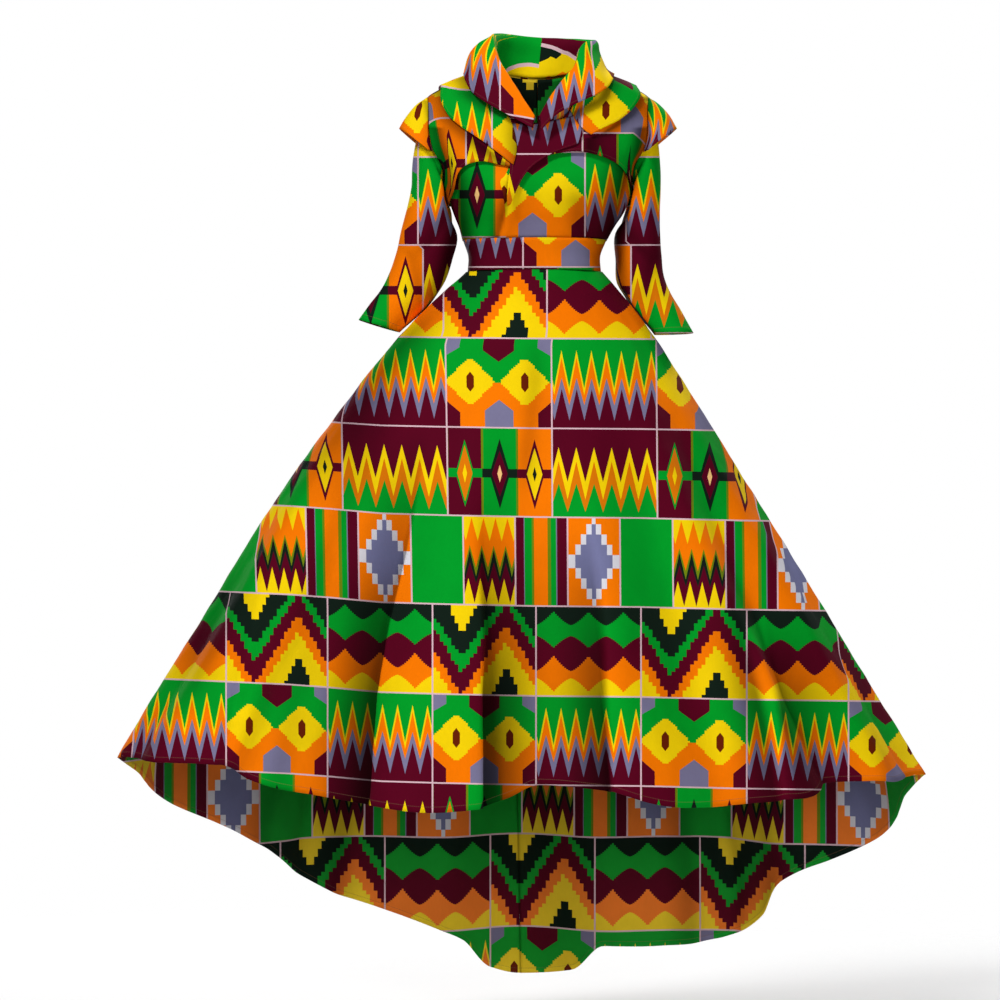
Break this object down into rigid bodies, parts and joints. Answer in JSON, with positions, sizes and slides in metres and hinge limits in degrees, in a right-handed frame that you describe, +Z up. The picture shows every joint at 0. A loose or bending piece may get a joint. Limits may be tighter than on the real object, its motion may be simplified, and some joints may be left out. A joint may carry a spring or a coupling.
{
  "type": "worn high-low printed cotton dress",
  "caption": "Worn high-low circle-skirt dress in strip-patterned cotton, with layered collars, short overlay, small caps and bent three-quarter sleeves, hollow with no wearer.",
  "frame": {"origin": "the middle of the shoulder line, where the wearer's shoulders hold the dress", "axes": "+Z up along the standing body, -Y to the front of the dress, +X to the viewer's right seen from the front"},
  "size_m": [1.2936, 1.0925, 1.5823],
  "materials": {
    "bodice_front": "printed cotton, matt",
    "bodice_back_left": "printed cotton, matt",
    "bodice_back_right": "printed cotton, matt",
    "waistband": "printed cotton, matt",
    "skirt_front": "printed cotton, matt",
    "skirt_back_left": "printed cotton, matt",
    "skirt_back_right": "printed cotton, matt",
    "sleeve_left": "printed cotton, matt",
    "sleeve_right": "printed cotton, matt",
    "bolero_left": "printed cotton, matt",
    "bolero_right": "printed cotton, matt",
    "bolero_back": "printed cotton, matt",
    "cap_sleeve_left": "printed cotton, matt",
    "cap_sleeve_right": "printed cotton, matt",
    "lapel_right": "printed cotton, matt",
    "collar_lower": "printed cotton, matt",
    "collar_upper": "printed cotton, matt"
  },
  "bodies": {
    "root": {"bodice_front": "bodice_front", "bodice_back_left": "bodice_back_left", "bodice_back_right": "bodice_back_right", "waistband": "waistband", "skirt_front": "skirt_front", "skirt_back_left": "skirt_back_left", "skirt_back_right": "skirt_back_right", "sleeve_left": "sleeve_left", "sleeve_right": "sleeve_right", "bolero_left": "bolero_left", "bolero_right": "bolero_right", "bolero_back": "bolero_back", "cap_sleeve_left": "cap_sleeve_left", "cap_sleeve_right": "cap_sleeve_right", "lapel_right": "lapel_right", "collar_lower": "collar_lower", "collar_upper": "collar_upper"}
  },
  "joints": []
}
